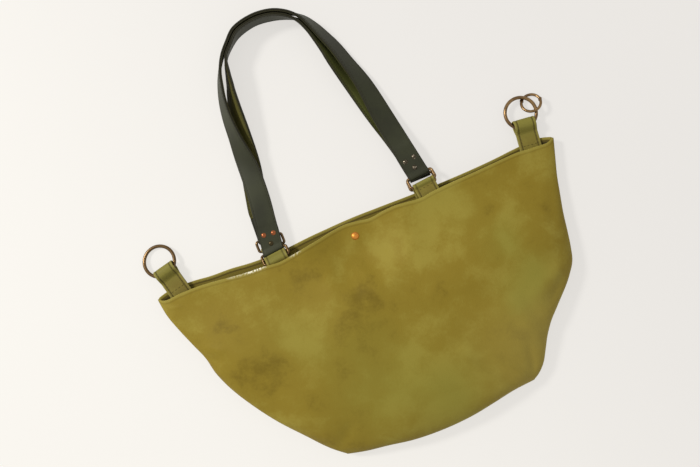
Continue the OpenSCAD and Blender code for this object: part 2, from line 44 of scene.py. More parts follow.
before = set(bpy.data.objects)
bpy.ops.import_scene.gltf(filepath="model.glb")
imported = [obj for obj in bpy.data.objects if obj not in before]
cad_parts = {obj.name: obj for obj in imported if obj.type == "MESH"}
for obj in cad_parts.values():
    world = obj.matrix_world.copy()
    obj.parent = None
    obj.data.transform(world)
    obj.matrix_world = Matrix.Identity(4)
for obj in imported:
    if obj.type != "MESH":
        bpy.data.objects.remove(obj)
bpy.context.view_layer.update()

MM = 0.001


def srgb(red, green, blue):
    """A display colour from 0 to 255 as linear light: the sRGB curve, undone channel by channel."""
    linear = []
    for value in (red, green, blue):
        value = value / 255
        linear.append(value / 12.92 if value <= 0.04045 else ((value + 0.055) / 1.055) ** 2.4)
    return tuple(linear)


def colour_property(name, description, default):
    return bpy.props.FloatVectorProperty(name=name, description=description, default=default,
                                         size=3, min=0.0, max=1.0, subtype="COLOR")


def length_property(name, description, default):
    """A size in millimetres."""
    return bpy.props.FloatProperty(name=name, description=description, default=default, min=0.0)


class BodySettings(bpy.types.PropertyGroup):
    seam_height: length_property("Seam height", "Side and bottom seam over the table, mm", 10.0)
    crown_height: length_property("Crown height", "Fullest point of the front over the table, mm", 39.0)
    mouth_rise: length_property("Mouth rise", "Front mouth edge over the seam, mm", 13.0)
    leather: length_property("Leather", "Thickness of the panels, mm", 1.7)
    hem: length_property("Hem", "Thickness of the turned mouth edge, mm", 2.4)
    light_tone: colour_property("Light tone", "Rubbed, paler leather", srgb(155, 139, 57))
    mid_tone: colour_property("Mid tone", "Main colour of the leather", srgb(141, 121, 39))
    deep_tone: colour_property("Deep tone", "Waxed, darker leather", srgb(119, 100, 28))


class TabSettings(bpy.types.PropertyGroup):
    layer: length_property("Layer", "Thickness of one layer of a tab, mm", 1.5)
    width: length_property("Width", "Width of a handle tab, mm", 26.0)
    stitch_inset: length_property("Stitch inset", "Stitch line's distance from a tab's edge, mm", 3.4)
    tone: colour_property("Tone", "Colour of the tabs", srgb(120, 106, 42))
    deep_tone: colour_property("Deep tone", "Darker parts of the tabs", srgb(100, 88, 33))


class StrapSettings(bpy.types.PropertyGroup):
    width: length_property("Width", "Width of a handle strap, mm", 25.0)
    outer: length_property("Outer", "Thickness of the dark outer leather, mm", 2.0)
    lining: length_property("Lining", "Thickness of the olive lining, mm", 1.3)
    dark_tone: colour_property("Dark tone", "Outer face of the straps", srgb(45, 46, 32))
    lining_tone: colour_property("Lining tone", "Lining of the straps", srgb(92, 96, 46))


class MetalSettings(bpy.types.PropertyGroup):
    brass: colour_property("Brass", "Aged brass of the rings", srgb(134, 108, 74))
    tarnish: colour_property("Tarnish", "Dark film in the brass", srgb(80, 60, 40))
    copper: colour_property("Copper", "Caps and rivets", srgb(204, 138, 62))


class StageSettings(bpy.types.PropertyGroup):
    camera_height: length_property("Camera height", "Camera over the table, mm", 900.0)
    lens: bpy.props.FloatProperty(name="Lens", description="Focal length on a 36 mm frame, mm",
                                  default=39.71, min=10.0)
    key: bpy.props.FloatProperty(name="Key", description="Strength of the soft main light",
                                 default=1.0, min=0.0)


# Shader helpers


class Wire:
    """A value in a shader. Sums, differences and products add their own Math nodes."""

    def __init__(self, paint, socket):
        self.paint = paint
        self.socket = socket

    def maths(self, operation, *others):
        return self.paint.node("ShaderNodeMath", {"operation": operation},
                               dict(enumerate((self, *others))))

    def __add__(self, other):
        return self.maths("ADD", other)

    def __mul__(self, other):
        return self.maths("MULTIPLY", other)

    def __sub__(self, other):
        return self.maths("SUBTRACT", other)

    def held(self, low=0.0, high=1.0):
        """The value kept between two limits."""
        return self.maths("MAXIMUM", low).maths("MINIMUM", high)

    def stepped(self, low, high):
        """0 below low, 1 above high, and a smooth rise between them."""
        return self.paint.node("ShaderNodeMapRange", {"interpolation_type": "SMOOTHSTEP"},
                               {"Value": self, "From Min": low, "From Max": high})


class Tree:
    """A node tree under construction."""

    def __init__(self, tree):
        self.tree = tree

    def node(self, kind, settings=None, inputs=None, out=0):
        """Adds a node, sets its options, then its inputs, and returns one of its outputs."""
        node = self.tree.nodes.new(kind)
        for key, value in (settings or {}).items():
            setattr(node, key, value)
        for key, value in (inputs or {}).items():
            socket = node.inputs[key]
            if isinstance(value, Wire):
                self.tree.links.new(value.socket, socket)
            elif socket.type == "RGBA" and len(value) == 3:
                socket.default_value = (*value, 1.0)
            else:
                socket.default_value = value
        return Wire(self, node.outputs[out])

    def seen_directly(self):
        """1 for rays from the camera, and for those that gloss or glass sends on."""
        rays = [self.node("ShaderNodeLightPath", out=name)
                for name in ("Is Camera Ray", "Is Glossy Ray", "Is Transmission Ray")]
        return (rays[0] + rays[1] + rays[2]).held()


class Paint(Tree):
    """A material under construction."""

    def __init__(self, name):
        self.material = bpy.data.materials.new(name)
        self.material.use_nodes = True
        super().__init__(self.material.node_tree)
        self.tree.nodes.clear()

    def place(self):
        """Object coordinates, in metres."""
        return self.node("ShaderNodeTexCoord", out="Object")

    def axis(self, place, name):
        return self.node("ShaderNodeSeparateXYZ", None, {0: place}, out=name)

    def noise(self, place, scale, detail=2.0, roughness=0.5, distortion=0.0):
        return self.node("ShaderNodeTexNoise", None,
                         {"Vector": place, "Scale": scale, "Detail": detail,
                          "Roughness": roughness, "Distortion": distortion})

    def cells(self, place, scale):
        """Distance to the edges of irregular cells."""
        return self.node("ShaderNodeTexVoronoi", {"feature": "DISTANCE_TO_EDGE"},
                         {"Vector": place, "Scale": scale})

    def attribute(self, name):
        return self.node("ShaderNodeAttribute", {"attribute_name": name}, out="Fac")

    def mix(self, factor, first, second):
        """Two colours mixed by a factor."""
        return self.node("ShaderNodeMix", {"data_type": "RGBA"},
                         {0: factor, 6: first, 7: second}, out=2)

    def bump(self, height, strength, distance):
        return self.node("ShaderNodeBump", None,
                         {"Height": height, "Strength": strength, "Distance": distance})

    def finish(self, **inputs):
        """The surface shader: its own sockets take plain numbers, or what changes over the piece."""
        values = {key.replace("_", " "): value for key, value in inputs.items()}
        shader = self.node("ShaderNodeBsdfPrincipled", None, values)
        return self.shown(shader)

    def shown(self, shader):
        """Sends a shader to the material's output."""
        output = self.tree.nodes.new("ShaderNodeOutputMaterial")
        self.tree.links.new(shader.socket, output.inputs["Surface"])
        return self.material


# Mesh helpers


def smooth(u):
    """0 below 0, 1 above 1, with a level start and end between them: u squared times 3 - 2u."""
    u = np.clip(u, 0.0, 1.0)
    return u * u * (3 - 2 * u)


def blend_of(a, b, w):
    return a + (b - a) * w


def unit(v):
    """Vectors along the last axis, brought to length 1."""
    return v / np.maximum(np.linalg.norm(v, axis=-1, keepdims=True), 1e-9)


def through(knots_x, knots_y, x):
    """A smooth curve through points: cubics whose slopes at the points are central differences."""
    knots_x, knots_y = np.asarray(knots_x, float), np.asarray(knots_y, float)
    slope = np.gradient(knots_y, knots_x, axis=0)
    i = np.clip(np.searchsorted(knots_x, x) - 1, 0, len(knots_x) - 2)
    step = knots_x[i + 1] - knots_x[i]
    u = (x - knots_x[i]) / step
    if knots_y.ndim > 1:
        u, step = u[:, None], step[:, None]
    return ((1 + 2 * u) * (1 - u) ** 2 * knots_y[i] + u * (1 - u) ** 2 * step * slope[i]
            + u * u * (3 - 2 * u) * knots_y[i + 1] + u * u * (u - 1) * step * slope[i + 1])


def mesh_object(name, points, faces, material, attributes=None):
    """A smooth-shaded mesh from points in millimetres and quads or triangles."""
    mesh = bpy.data.meshes.new(name)
    mesh.from_pydata((np.asarray(points, float) * MM).tolist(), [], [list(f) for f in faces])
    mesh.polygons.foreach_set("use_smooth", np.ones(len(mesh.polygons), bool))
    for key, values in (attributes or {}).items():
        layer = mesh.attributes.new(key, "FLOAT", "POINT")
        layer.data.foreach_set("value", np.asarray(values, np.float32).ravel())
    mesh.materials.append(material)
    mesh.update()
    piece = bpy.data.objects.new(name, mesh)
    bpy.context.scene.collection.objects.link(piece)
    return piece


def run_along(line):
    """Distance travelled along a line of points, at each point."""
    return np.concatenate([[0], np.cumsum(np.linalg.norm(np.diff(line, axis=0), axis=1))])


def grid_faces(rows, cols, close_rows=False, close_cols=False, start=0):
    """Quads over a grid of rows by cols points, joined end to end where asked."""
    r = np.arange(rows if close_rows else rows - 1)
    c = np.arange(cols if close_cols else cols - 1)
    r, c = np.meshgrid(r, c, indexing="ij")
    r1, c1 = (r + 1) % rows, (c + 1) % cols
    quads = np.stack([r * cols + c, r * cols + c1, r1 * cols + c1, r1 * cols + c], axis=-1)
    return quads.reshape(-1, 4) + start


# Half the width of a stitch groove
GROOVE_HALF = 1.1


def tube_faces(rows, cols):
    """Faces of a tube of rows rings, each of cols points, with a face over either end."""
    faces = [list(f) for f in grid_faces(rows, cols, close_cols=True)]
    return faces + [list(range(cols))[::-1], list(range((rows - 1) * cols, rows * cols))]


def rounded_section(width, low, high, radius, inset=0.0, groove=0.0):
    """Outline of a strip's cut end, from its lower right corner round to the left and over the top.

    It is a rectangle with quarter circles at its corners. The top and bottom carry points for a
    stitch groove of that depth at the inset from each side. Returns places across, places up,
    which points belong to the strip's cut edges, and which lie in a groove.
    """
    half = width / 2
    radius = min(radius, (high - low) / 2 - 0.01)
    lanes = np.array([-1.0, -0.6, 0.0, 0.6, 1.0])
    if inset:
        side = half - inset
        marks = np.concatenate([-side + lanes * GROOVE_HALF, np.linspace(-side + 2, side - 2, 7),
                                side + lanes * GROOVE_HALF])
        dips = np.concatenate([1 - np.abs(lanes), np.zeros(7), 1 - np.abs(lanes)]) * groove
    else:
        marks = np.linspace(-half + 2.2, half - 2.2, 9)
        dips = np.zeros(9)
    turn = np.radians(np.linspace(0, 90, 5))
    across = np.concatenate([
        half - radius + radius * np.sin(turn), half - radius + radius * np.cos(turn),
        marks[::-1],
        -half + radius - radius * np.sin(turn), -half + radius - radius * np.cos(turn),
        marks])
    up = np.concatenate([
        low + radius - radius * np.cos(turn), high - radius + radius * np.sin(turn),
        high - dips[::-1],
        high - radius + radius * np.cos(turn), low + radius - radius * np.sin(turn),
        low + dips])
    edge = np.concatenate([np.ones(10), np.zeros(len(marks)), np.ones(10), np.zeros(len(marks))])
    sunk = np.concatenate([np.zeros(10), dips[::-1] > 0, np.zeros(10), dips > 0])
    return across, up, edge, sunk


def carried(path, wide, face, across, up, stretch=None):
    """A section carried along a path: path + across * wide + up * face at every station."""
    scale = np.ones(len(path)) if stretch is None else stretch
    return (path[:, None, :] + (across[None, :] * scale[:, None])[..., None] * wide[:, None, :]
            + up[None, :, None] * face[:, None, :])


def strip(name, path, wide, face, section, material, stretch=None, fold=None):
    """A closed strip of leather: a section carried along a path, with its two ends closed. It keeps
    which points lie on a cut edge, in a stitch groove, and near the fold."""
    across, up, edge, sunk = section
    points = carried(path, wide, face, across, up, stretch)
    rows, cols = points.shape[:2]
    near = np.zeros(rows) if fold is None else fold
    marks = {"edge": edge, "groove": sunk, "fold": near[:, None]}
    piece = mesh_object(name, points.reshape(-1, 3), tube_faces(rows, cols), material,
                        {key: np.broadcast_to(value, (rows, cols)) for key, value in marks.items()})
    turn_outwards(piece)
    return piece


def turn_outwards(piece, join=False):
    """Turns every face of a closed piece to the outside. Where asked, it first joins points that
    meet and drops what has no area."""
    work = bmesh.new()
    work.from_mesh(piece.data)
    if join:
        bmesh.ops.remove_doubles(work, verts=work.verts, dist=2e-6)
        bmesh.ops.dissolve_degenerate(work, edges=work.edges, dist=1e-7)
    bmesh.ops.recalc_face_normals(work, faces=work.faces)
    work.to_mesh(piece.data)
    work.free()
    piece.data.update()


def thread(name, path, up, material, length=2.9, gap=1.0, width=0.62, height=0.34):
    """Stitches along a line: one small six-sided bead a stitch, half sunk in the leather."""
    run = run_along(path)
    count = max(1, int(run[-1] // (length + gap)))
    centre = (np.arange(count) + 0.5) * run[-1] / count

    def sampled(line, at):
        return np.stack([np.interp(at, run, line[:, k]) for k in range(3)], axis=1)

    where, ahead, behind = (sampled(path, centre + step) for step in (0, 0.5, -0.5))
    lift = unit(sampled(up, centre))
    along = unit(ahead - behind)
    side = unit(np.cross(along, lift))
    stations = np.array([-1, -0.8, -0.4, 0, 0.4, 0.8, 1.0])
    fat = np.sqrt(np.maximum(0.02, 1 - stations ** 4))
    angle = np.radians(np.arange(0, 360, 60))
    ring = (where[:, None, None, :]
            + (stations * length / 2)[None, :, None, None] * along[:, None, None, :]
            + (fat[:, None] * np.cos(angle) * width / 2)[None, :, :, None] * side[:, None, None, :]
            + (fat[:, None] * np.sin(angle) * height)[None, :, :, None] * lift[:, None, None, :])
    rows, cols = len(stations), len(angle)
    faces = [[v + k * rows * cols for v in f] for k in range(count) for f in tube_faces(rows, cols)]
    piece = mesh_object(name, ring.reshape(-1, 3), faces, material)
    turn_outwards(piece)
    return piece


# The bag's outline and surfaces

# Sides of the bag from the mouth corner down to the bottom corner: x, y in millimetres
LEFT_SIDE = [(-246.6, 0), (-243.8, -20), (-236.8, -42), (-228.6, -63), (-221, -82), (-216.4, -103),
             (-208, -124), (-192, -152), (-172.5, -180), (-149.5, -207), (-124.5, -235), (-110.5, -247)]
RIGHT_SIDE = [(246.5, 1), (239.8, -21), (233.8, -41), (229, -62), (224.3, -83), (220.8, -104),
              (217.5, -122), (213, -138), (203.6, -152), (178, -179), (164.3, -193), (154, -207),
              (146, -221), (137.5, -235), (129, -243.5), (120.5, -249)]
# Bottom edge and the two mouth edges, from left to right
BOTTOM_EDGE = [(-110.5, -247), (-90, -251.5), (-62, -255.5), (-35, -260), (2, -262), (39, -260),
               (66, -255.8), (94, -251), (120.5, -249)]
FRONT_EDGE = [(-246.6, 0), (-242, -3.6), (-220, -4.2), (-198, -4.2), (-178, -5.8), (-158, -8.4),
              (-138, -10.6), (-118, -11.7), (-98, -13.6), (-83, -11.8), (-68, -9.6), (-48, -6.6),
              (-28, -3.2), (-13, -2.2), (2, -4.1), (13, -6), (32, -4.2), (47, -3.5), (62, -5.2),
              (76, -6.6), (92, -4.8), (112, -3.6), (142, -2.6), (172, -1.2), (197, -0.3),
              (222, -2), (238, -2.4), (246.5, 1)]
BACK_EDGE = [(-246.6, 0), (-238, 2.6), (-203, 3.9), (-182, 1.6), (-154, 0.4), (-136, -1.6),
             (-81, -1.6), (-62, 0), (-35, 1.3), (2, 2.1), (30, 1.8), (66, 1.0), (112, 0.9),
             (149, 1.7), (177, 3.1), (200, 4.9), (236, 4.8), (246.5, 1)]
SNAP = (-8.0, -17.5)
SNAP_TOP = 13.2
DIMPLE = 2.4

# Soft folds of the front: x, y of both ends, height, width
FRONT_FOLDS = [
    (-21, -30, -13, -62, 1.5, 5.5), (-46, -30, -58, -72, 0.9, 9), (20, -34, 34, -74, -0.9, 10),
    (-6, -40, 4, -84, -0.9, 8), (-36, -38, -30, -86, -0.8, 7),
    (116, -246, 84, -205, 1.7, 4.5), (101, -246, 66, -200, -1.2, 5), (84, -205, 52, -178, 1.0, 7),
    (122, -243, 128, -205, -1.2, 6), (-228, -74, -205, -92, -2.3, 3.2), (-226, -68, -196, -82, 1.3, 5),
    (210, -146, 168, -170, -1.5, 8), (206, -134, 150, -158, 1.3, 10), (160, -205, 142, -160, -1.3, 8),
    (150, -214, 128, -180, 1.2, 7), (-222, -58, -150, -130, 1.6, 15), (-150, -130, -112, -214, 1.3, 17),
    (-236, -30, -214, -66, -1.0, 8), (230, -40, 205, -92, -1.0, 9), (-196, -146, -160, -176, -0.9, 8),
    (-120, -236, -92, -214, -1.3, 8), (60, -120, 118, -146, -1.0, 13), (-70, -120, -36, -170, 0.9, 17),
]
# Fine wrinkles over the bottom corner and below the mouth
FINE_WRINKLES = [
    (80, -193, 93, -205, 0.35, 1.2), (85, -196, 104, -214, 0.4, 1.3), (92, -197, 110, -211, 0.32, 1.1),
    (76, -199, 92, -214, 0.3, 1.2), (96, -214, 108, -226, 0.4, 1.3), (88, -212, 101, -229, -0.35, 1.4),
    (104, -220, 113, -236, 0.4, 1.4), (-10, -172, -5, -184, 0.35, 1.2), (-3, -168, 3, -178, -0.3, 1.3),
    (-60, -16, -30, -22, 0.35, 2), (20, -14, 52, -18, 0.3, 2), (124, -8, 150, -12, 0.3, 2),
    (-236, -14, -222, -18, 0.4, 2), (146, -118, 160, -121, 0.2, 1.2), (-150, -86, -132, -92, 0.25, 1.5),
]


# Smudges of the waxed front: x, y, size, strength. Light smudges count up, dark ones down.
WAX = [
    (-30, -24, 70, 0.05), (-128, -78, 34, 0.16), (-96, -108, 22, 0.25), (-60, -112, 24, -0.1),
    (-44, -78, 30, -0.22), (-18, -96, 26, -0.34), (-160, -128, 22, -0.34), (-182, -44, 30, -0.2),
    (12, -44, 13, 0.42), (-6, -150, 34, 0.22), (42, -70, 22, 0.2), (30, -92, 20, -0.3),
    (70, -64, 24, 0.2), (86, -24, 34, 0.3), (112, -14, 28, 0.16), (96, -46, 22, -0.34),
    (64, -104, 24, -0.34), (138, -46, 26, -0.3), (150, -80, 22, 0.4), (128, -92, 20, -0.32),
    (176, -100, 17, -0.4), (160, -128, 18, 0.44), (124, -136, 22, 0.3), (40, -136, 26, -0.24),
    (120, -172, 24, -0.36), (90, -186, 20, -0.2), (12, -196, 44, 0.16), (170, -20, 30, -0.2),
    (196, -60, 26, -0.26), (-90, -176, 30, -0.24), (-50, -214, 30, 0.18), (-210, -30, 26, -0.12),
]
GREEN = [
    (-40, -190, 62, 0.7), (30, -222, 44, 0.7), (-120, -96, 34, 0.3), (150, -84, 24, 0.75),
    (160, -134, 24, 0.8), (136, -152, 24, 0.9), (-70, -120, 40, 0.25), (100, -20, 40, 0.25),
]
# Shine on the front mouth edge: middle, half length, strength
GLARE = [(-129, 12, 1.2), (-152, 9, 0.35), (-79, 6, 0.5)]


def patches(x, y, places):
    """Sum of soft round smudges, each a bell round its place. The ground under them is bent by
    slow sines, so their outlines wander."""
    u = x + 4 * np.sin(y / 15 + 1) + 3 * np.sin(x / 9 + y / 21)
    v = y + 4 * np.sin(x / 17) + 3 * np.sin(y / 8 - x / 25)
    return sum(strength * np.exp(-((u - px) ** 2 + (v - py) ** 2) / size ** 2)
               for px, py, size, strength in places)


def glare(x, depth):
    """Shine on the turned edge of the front: a bell across the edge, times a flat-topped bell for
    each stretch of GLARE along it."""
    across = 1.25 * np.exp(-((depth - 0.4) / 0.7) ** 2)
    return np.clip(across * sum(high * np.exp(-((x - middle) / half) ** 4)
                                for middle, half, high in GLARE), 0, 1)


def outline_at(knots, share):
    """A point at a share of an edge's length, on the smooth curve through its points."""
    knots = np.asarray(knots, float)
    run = run_along(knots)
    return through(run, knots, share * run[-1])


def patch(mouth, share_x, share_y):
    """Plan of a panel: the sum of the surface between its sides and the one between its mouth and
    bottom edges, less the one between its four corners."""
    top, bottom = outline_at(mouth, share_x), outline_at(BOTTOM_EDGE, share_x)
    left, right = outline_at(LEFT_SIDE, share_y), outline_at(RIGHT_SIDE, share_y)
    a, b = share_x[None, :, None], share_y[:, None, None]
    corners = ((1 - a) * (1 - b) * top[0] + a * (1 - b) * top[-1]
               + (1 - a) * b * bottom[0] + a * b * bottom[-1])
    return ((1 - b) * top[None] + b * bottom[None] + (1 - a) * left[:, None] + a * right[:, None]
            - corners)


def ridges(x, y, folds):
    """Height of soft folds: a bell across each fold's line, fading out at its two ends."""
    height = np.zeros_like(x)
    for x0, y0, x1, y1, high, wide in folds:
        length = math.hypot(x1 - x0, y1 - y0)
        ex, ey = (x1 - x0) / length, (y1 - y0) / length
        along = ((x - x0) * ex + (y - y0) * ey) / length
        off = ((x - x0) * ey - (y - y0) * ex) / wide
        height += high * np.exp(-off * off) * np.exp(-(((along - 0.5) / 0.55) ** 4))
    return height


def swells(x, y):
    """Broad, shallow waves of the leather: a few sines that cross each other."""
    return (0.8 * np.sin(x / 33 + 0.7 * np.sin(y / 41)) * np.sin(y / 38 + 1.1)
            + 0.6 * np.sin(x / 21 - y / 27 + 0.5) + 0.35 * np.sin(x / 13 + y / 17 + 2 * np.sin(x / 50)))


def crowded(count, low, high):
    """Shares from 0 to 1 that crowd towards both ends by those amounts."""
    u = np.linspace(0, 1, count)
    wave = np.sin(2 * np.pi * u) / (2 * np.pi)
    return u - low * wave * (1 - u) - high * wave * u


def panel_shell(plan, height, leather, hem, outward):
    """Closed shell of one panel: the outer face, the face offset inwards by the leather's
    thickness, and a round turned edge along the mouth. The wall thins to nothing at the seam."""
    outer = np.concatenate([plan, height[..., None]], axis=-1)
    down = np.gradient(outer, axis=0)
    right = np.gradient(outer, axis=1)
    normal = unit(np.cross(down, right)) * outward
    rows, cols = height.shape
    depth = run_along(outer[:, cols // 2])
    wall = blend_of(hem, leather, smooth((depth - 24) / 8))[:, None]
    side = np.linspace(-1, 1, cols)[None, :]
    seam = np.minimum(smooth((1 - np.abs(side)) / 0.02), smooth((depth[-1] - depth) / 5)[:, None])
    inner = outer - normal * (wall * seam)[..., None]
    centre, radius = (outer[0] + inner[0]) / 2, np.linalg.norm(outer[0] - inner[0], axis=1) / 2
    out_of_mouth = -unit(down[0])
    turn = np.radians(np.linspace(0, 180, 9))[1:-1]
    lip = (centre[None] + (radius[None, :, None] * np.cos(turn)[:, None, None]) * normal[0][None]
           + (radius[None, :, None] * np.sin(turn)[:, None, None]) * out_of_mouth[None])
    loop = np.concatenate([lip[::-1], outer, inner[::-1]], axis=0)
    from_edge = np.concatenate([np.zeros(len(lip)), depth, depth[::-1]])
    inside = np.concatenate([np.zeros(len(lip)), np.zeros(rows), np.ones(rows)])
    return loop, from_edge, inside


def side_shares(rows, cols):
    return crowded(cols, 0.55, 0.55), crowded(rows, 0.2, 0.75)


def front_surface(body, rows, cols):
    """Plan and height of the front: a pillow on the seam, pressed down at the snap, with folds."""
    across, down = side_shares(rows, cols)
    plan = patch(FRONT_EDGE, across, down)
    s, t = 2 * across[None, :] - 1, down[:, None]
    x, y = plan[..., 0], plan[..., 1]
    rise = blend_of(body.mouth_rise, body.crown_height - body.seam_height, smooth(t / 0.4))
    pillow = body.seam_height + rise * np.sqrt(np.maximum(0, 1 - np.abs(s) ** 3)) * np.sqrt(
        np.maximum(0, 1 - t ** 6))
    calm = smooth((1 - np.abs(s)) / 0.12) * smooth((1 - t) / 0.1) * smooth(t / 0.06)
    folds = (swells(x, y) + ridges(x, y, FRONT_FOLDS)) * calm + ridges(x, y, FINE_WRINKLES) * smooth(
        (1 - np.abs(s)) / 0.04) * smooth((1 - t) / 0.03)
    from_snap = np.hypot(x - SNAP[0], y - SNAP[1])
    pressed = 1 - smooth((from_snap - 10.5) / 57)
    flat = 1 - smooth((from_snap - 8) / 14)
    return plan, blend_of(pillow + folds * (1 - flat), SNAP_TOP, pressed)


def back_surface(body, rows, cols):
    """Plan and height of the back: pressed flat on the table, and lifted a little at the snap."""
    across, down = side_shares(rows, cols)
    plan = patch(BACK_EDGE, across, down)
    s, t = 2 * across[None, :] - 1, down[:, None]
    x, y = plan[..., 0], plan[..., 1]
    full = 1.15 * np.sqrt(np.maximum(0, 1 - np.abs(s) ** 6)) * np.sqrt(np.maximum(0, 1 - t ** 8))
    hull = body.seam_height * (1 - np.minimum(1, full))
    from_snap = np.hypot(x - SNAP[0], y - SNAP[1])
    return plan, blend_of(hull, DIMPLE, 1 - smooth((from_snap - 11) / 22))


# Strap routes, as the solids have them

FRONT_BAR, BACK_BAR = np.array([-6.6, 0.2]), np.array([-7.5, 6.3])
RING_HALF, BAR_PITCH = 94.5, 12.2
FRONT_TURN, FRONT_FALL, BACK_FALL = math.radians(5.6), math.radians(23), math.radians(5.40886)
FRONT_BAR_Z, BACK_BAR_Z = 17.0094, 5.1
FRONT_UP_Z, BACK_UP_Z = 12.2424, 3.95
FOLD_REACH, BAR_BORE, LAY = 27.0, 1.75, 0.2
FRONT_LEANS, BACK_LEANS = (7, -10), (3, -9)
# Stitch lines' distance from a strap's edge
STRAP_INSET = 2.4
# The back handle follows the front one at that distance, over those points of its route
NEST, NESTED = 2 * (1.3 + LAY / 2) + 1.6, slice(6, 14)
# Routes: x, y, height of the lower edge over the table, and twist in degrees
FRONT_ROUTE = [
    (-94.1, 64, 7.9, 4), (-92.3, 98, 4.6, 17), (-92.9, 135, 2.5, 50), (-92.8, 162, 1.1, 62),
    (-90.6, 182, 0.6, 67.5), (-86.6, 199, 0.3, 72), (-81.2, 214.6, 0.2, 78), (-72.7, 229.4, 0.1, 82),
    (-61.3, 242.2, 0.1, 83.5), (-46.5, 253.4, 0.1, 90), (-24, 258.6, 0.1, 90), (-2, 256.6, 0.1, 90),
    (16, 249.6, 0.1, 83), (29.5, 239.2, 0.1, 72), (38.4, 224.6, 0.2, 63), (45.6, 208.6, 0.4, 57),
    (52.2, 192.4, 0.8, 53.5), (58.8, 170, 1.5, 49), (66.6, 141, 3.1, 37), (73, 100, 5, 15),
    (78.3, 68, 8, 4)]
BACK_LEFT_ROUTE = [(-95, 80, 0.1, 4), (-90, 104, 0.1, 13), (-85, 138, 0.1, 37), (-81.8, 167, 0.1, 51),
                   (-78.6, 187, 0.1, 63), (-76, 198, 0.1, 70), (-74, 208, 0.1, 75)]
BACK_RIGHT_ROUTE = [(40.2, 206, 0.1, 56), (43.8, 192, 0.1, 52), (47.3, 176.7, 0.1, 46),
                    (57.6, 140, 0.1, 30), (68.3, 102, 0.1, 12), (76, 76, 0.2, 3)]
# Corner tabs: side, middle at the mouth, reach above it, and lean in degrees
CORNER_TABS = (("left", -219.9, 26.5, 13.1), ("right", 218.4, 26.7, -6.2))
# Radius and height of the folds' bore, the ring's slack in it, and the tab's length in the bag
CORNER_BORE, CORNER_Z, CORNER_SLACK, CORNER_TAIL = 5.45361, 7.6788, 1.5, 18.0


def bar_line(front):
    """Direction of the ring bars in plan, and the middles of the lower and upper bars."""
    turn = FRONT_TURN if front else 0.0
    run = np.array([math.cos(turn), math.sin(turn)])
    middle = FRONT_BAR if front else BACK_BAR
    lower = [middle - RING_HALF * run, middle + RING_HALF * run]
    fall = FRONT_FALL if front else BACK_FALL
    up = BAR_PITCH * math.cos(fall) * np.array([-run[1], run[0]])
    return run, lower, [p + up for p in lower]


def strap_knots(front, width):
    """Middle line of a handle: x, y, height and twist, from the left ring to the right one."""
    _, _, ends = bar_line(front)
    leans = FRONT_LEANS if front else BACK_LEANS
    z = FRONT_UP_Z if front else BACK_UP_Z
    route = np.array(FRONT_ROUTE, float)
    if not front:
        run = route[2:, :2] - route[:-2, :2]
        out = unit(np.stack([-run[:, 1], run[:, 0]], axis=1))
        beside = route[1:-1].copy()
        beside[:, :2] -= NEST * out
        route = np.concatenate([np.array(BACK_LEFT_ROUTE, float), beside[NESTED],
                                np.array(BACK_RIGHT_ROUTE, float)])
    under = 1.4 if front else 2.0
    twist = np.radians(route[:, 3])
    route[:, 2] += width / 2 * np.sin(twist) + under * np.cos(twist)
    tips = []
    for end, lean in zip(ends, leans):
        way = np.array([math.sin(math.radians(lean)), math.cos(math.radians(lean))])
        tips.append([[*(end + far * way), z - drop, 0]
                     for far, drop in ((FOLD_REACH, 0), (FOLD_REACH + 9, 0.1))])
    return np.concatenate([tips[0], route, tips[1][::-1]])


def strap_frames(front, width, steps=9):
    """Stations along a handle: the smooth curve through its knots, with the strap's width and
    face directions. The face leans from straight up by the twist."""
    knots = strap_knots(front, width)
    at = np.linspace(0, len(knots) - 1, (len(knots) - 1) * steps + 1)
    slope = np.empty_like(knots)
    slope[1:-1] = (knots[2:] - knots[:-2]) / 2
    slope[0], slope[-1] = knots[1] - knots[0], knots[-1] - knots[-2]
    i = np.minimum(at.astype(int), len(knots) - 2)
    u = (at - i)[:, None]
    a, b, ta, tb = knots[i], knots[i + 1], slope[i], slope[i + 1]
    line = ((2 * u ** 3 - 3 * u ** 2 + 1) * a + (u ** 3 - 2 * u ** 2 + u) * ta
            + (3 * u ** 2 - 2 * u ** 3) * b + (u ** 3 - u ** 2) * tb)
    run = ((6 * u ** 2 - 6 * u) * (a - b) + (3 * u ** 2 - 4 * u + 1) * ta + (3 * u ** 2 - 2 * u) * tb)
    along = unit(run[:, :3])
    out = unit(np.stack([-run[:, 1], run[:, 0], np.zeros(len(run))], axis=1))
    up = np.cross(along, out)
    twist = np.radians(line[:, 3:4])
    return line[:, :3], np.cos(twist) * out - np.sin(twist) * up, np.cos(twist) * up + np.sin(twist) * out


def fold_stations(end, lean, z, bar_run, sign, mean, far):
    """The folded end of a strap: from its riveted end under the strap, round the bar, and back over
    it. Sign is 1 where the strap goes on above the fold, and -1 where it goes on below."""
    way = np.array([math.sin(math.radians(lean)), math.cos(math.radians(lean))])
    radius = BAR_BORE + mean
    flat = mean + LAY * 0.4
    start = radius + 3.4
    reach = np.linspace(far - 0.4, start, 12)
    dive = np.linspace(start, 0, 8)[1:-1]
    swing = np.linspace(-90, -270, 19)
    along = np.concatenate([reach, dive, radius * np.cos(np.radians(swing)), dive[::-1],
                            reach[::-1][:-1]])
    eased = blend_of(radius, flat, smooth(dive / start))
    height = np.concatenate([np.full(12, -flat), -eased, radius * np.sin(np.radians(swing)),
                             eased[::-1], np.full(11, flat)])
    points = np.stack([end[0] + along * way[0], end[1] + along * way[1], z + sign * height], axis=1)
    share = smooth((along - 1) / (far - 1))[:, None]
    square = np.array([-way[1], way[0]])
    bar = -np.asarray(bar_run)
    wide = unit(np.concatenate([blend_of(bar, square, share), np.zeros((len(along), 1))], axis=1))
    run = unit(np.gradient(points, axis=0))
    face = unit(np.cross(wide, run))
    return points, wide, face


# Materials


